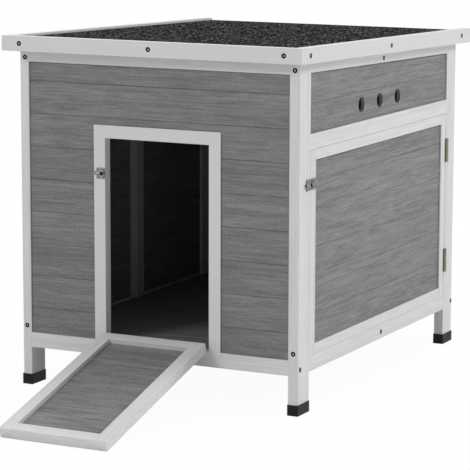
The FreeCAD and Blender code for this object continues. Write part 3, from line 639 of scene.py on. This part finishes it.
def fitting_screws():
    """The small screws of the bolts, their keepers and the hinges."""
    zinc = metal("zinc_screw", ZINC, 0.4, patina=0.6)
    # The recesses of the zinc and brass screws are near black: painted shade in the slot.
    dark = moulded("screw_slot_shade", SCREW_BLACK, 0.6, relief=0.005)
    side_face = CABIN_WIDE + PLATE_THICK
    spots = []
    for along in BOLT_COLUMNS:
        for up in BOLT_ROWS:
            spots.append((at(FRONT_BOLT_LEFT + along, -PLATE_THICK, BOLT_HEIGHT + up), FORWARD))
            spots.append((at(side_face, SIDE_BOLT_FRONT + along, BOLT_HEIGHT + up), RIGHTWARD))
    screws("bolt_screws", "cabin", (zinc, dark), spots, **SMALL_SCREW)
    keeper = [(along, BOLT_HEIGHT + up) for along in KEEPER_COLUMNS for up in BOLT_ROWS]
    spots = [(at(side_face, SIDE_BOLT_FRONT + along, z), RIGHTWARD) for along, z in keeper]
    screws("door_keeper_screws", "side_door", (zinc, dark), spots, **SMALL_SCREW)
    spots = [(under_ramp(FRONT_BOLT_LEFT + along, z - PIN_HEIGHT, PIN_AHEAD - PLATE_THICK), RAMP_UNDERSIDE)
             for along, z in keeper]
    screws("ramp_keeper_screws", "ramp", (zinc, dark), spots, **SMALL_SCREW)

    brass = metal("brass_screw", BRASS, 0.36, patina=0.4)
    spots = [(at(x, -FLAP_THICK, PIN_HEIGHT - FLAP_REACH), FORWARD) for x in FLAP_COLUMNS]
    screws("flap_wall_screws", "cabin", (brass, dark), spots, **FLAP_SCREW)
    spots = [(under_ramp(x, FLAP_REACH, PIN_AHEAD - FLAP_THICK), RAMP_UNDERSIDE) for x in FLAP_COLUMNS]
    screws("flap_ramp_screws", "ramp", (brass, dark), spots, **FLAP_SCREW)
    places = [(x, foot + up) for foot in BUTT_FEET for x, up in BUTT_SPOTS]
    spots = [(at(x, POST_LEAF_FACE, z), FORWARD) for x, z in places]
    screws("butt_post_screws", "cabin", (brass, dark), spots, **BUTT_SCREW)
    spots = [(at(x, DOOR_LEAF_FACE, z), BACKWARD) for x, z in places]
    screws("butt_door_screws", "side_door", (brass, dark), spots, **BUTT_SCREW)


# The studio's floor: its size in metres, its whiteness, and how much of it shows as plain white.
FLOOR_SIZE, FLOOR_WHITE, FLOOR_VEIL = 30, 0.93, 0.96

# Its even light, and its lamps: degrees round from the front towards the right, degrees up, metres across, watts.
AMBIENT = 0.375
LAMPS = [
    ("front_lamp", -25, 30, 4.4, 488),
    ("right_lamp", 122, 35, 4.4, 944),
    ("top_lamp", 0, 90, 6.0, 552),
    ("rear_lamp", 215, 30, 4.4, 200),
]

# The place that the lamps face and their distance from it, in metres.
LAMP_AIM = Vector((0, 0, 0.35))
LAMP_DISTANCE = 14.0


def studio():
    """White floor and surroundings, with soft lamps round the coop and over it."""
    bpy.ops.mesh.primitive_plane_add(size=FLOOR_SIZE, location=(0, 0, 0))
    floor = bpy.context.object
    floor.name = "studio_floor"
    tree = Tree.of_material("studio_floor")
    tree.set(Base_Color=(FLOOR_WHITE, FLOOR_WHITE, FLOOR_WHITE, 1), Roughness=0.9, Specular_IOR_Level=0.2)
    white = tree.add("ShaderNodeEmission", {"Color": (1, 1, 1, 1), "Strength": 1.0}).outputs[0]
    veil = tree.maths("MULTIPLY", tree.seen(), FLOOR_VEIL)
    mix = tree.add("ShaderNodeMixShader", {0: veil, 1: tree.shader.outputs[0], 2: white})
    tree.links.new(mix.outputs[0], tree.all["Material Output"].inputs["Surface"])
    floor.data.materials.append(tree.material)

    world = bpy.data.worlds.new("studio")
    scene.world = world
    sky = Tree(world)
    background = sky.all["Background"]
    sky.feed(background.inputs["Color"], (1, 1, 1, 1))
    sky.feed(background.inputs["Strength"], sky.fade(sky.seen(), 0.0, 1.0, AMBIENT))

    for name, azimuth, elevation, size, power in LAMPS:
        lamp(name, outward(azimuth, elevation), size, power)


def outward(azimuth, elevation):
    """The direction from the coop at degrees round from the front towards the right and degrees up."""
    azimuth, elevation = math.radians(azimuth), math.radians(elevation)
    return Vector((math.cos(elevation) * math.sin(azimuth), -math.cos(elevation) * math.cos(azimuth),
                   math.sin(elevation)))


def lamp(name, direction, size, power):
    """A square lamp that faces the middle of the coop."""
    data = bpy.data.lights.new(name, "AREA")
    data.shape = "SQUARE"
    data.size = size
    data.energy = power
    item = bpy.data.objects.new(name, data)
    item.location = LAMP_AIM + LAMP_DISTANCE * direction
    item.rotation_euler = (-direction).to_track_quat("-Z", "Y").to_euler()
    scene.collection.objects.link(item)


# The fitted camera: degrees round and up, roll in degrees, lens and sensor in millimetres, and its place.
CAMERA_AZIMUTH, CAMERA_ELEVATION, CAMERA_ROLL = 26.7660, 9.4975, 0.1548
CAMERA_LENS, CAMERA_SENSOR = 178.933, 36
CAMERA_PLACE = (2451.9, -3916.8, 1074.0)


def camera():
    """The photograph's view, fitted to the straight edges of the frame."""
    data = bpy.data.cameras.new("camera")
    data.lens = CAMERA_LENS
    data.sensor_width = CAMERA_SENSOR
    data.clip_end = 60
    view = bpy.data.objects.new("camera", data)
    view.location = at(*CAMERA_PLACE)
    aim = (-outward(CAMERA_AZIMUTH, CAMERA_ELEVATION)).to_track_quat("-Z", "Y").to_matrix().to_4x4()
    view.rotation_euler = (aim @ Matrix.Rotation(math.radians(CAMERA_ROLL), 4, "Z")).to_euler()
    scene.collection.objects.link(view)
    scene.camera = view


dress_bars()
dress_boards()
soften(TIMBER_EDGE, *UPRIGHT, *ACROSS, *ALONG, *RAMP_ALONG, *RAMP_ACROSS, "left_wall_batten")
dress_fittings()
timber_screws()
fitting_screws()
studio()
camera()
scene.view_settings.view_transform = "Standard"
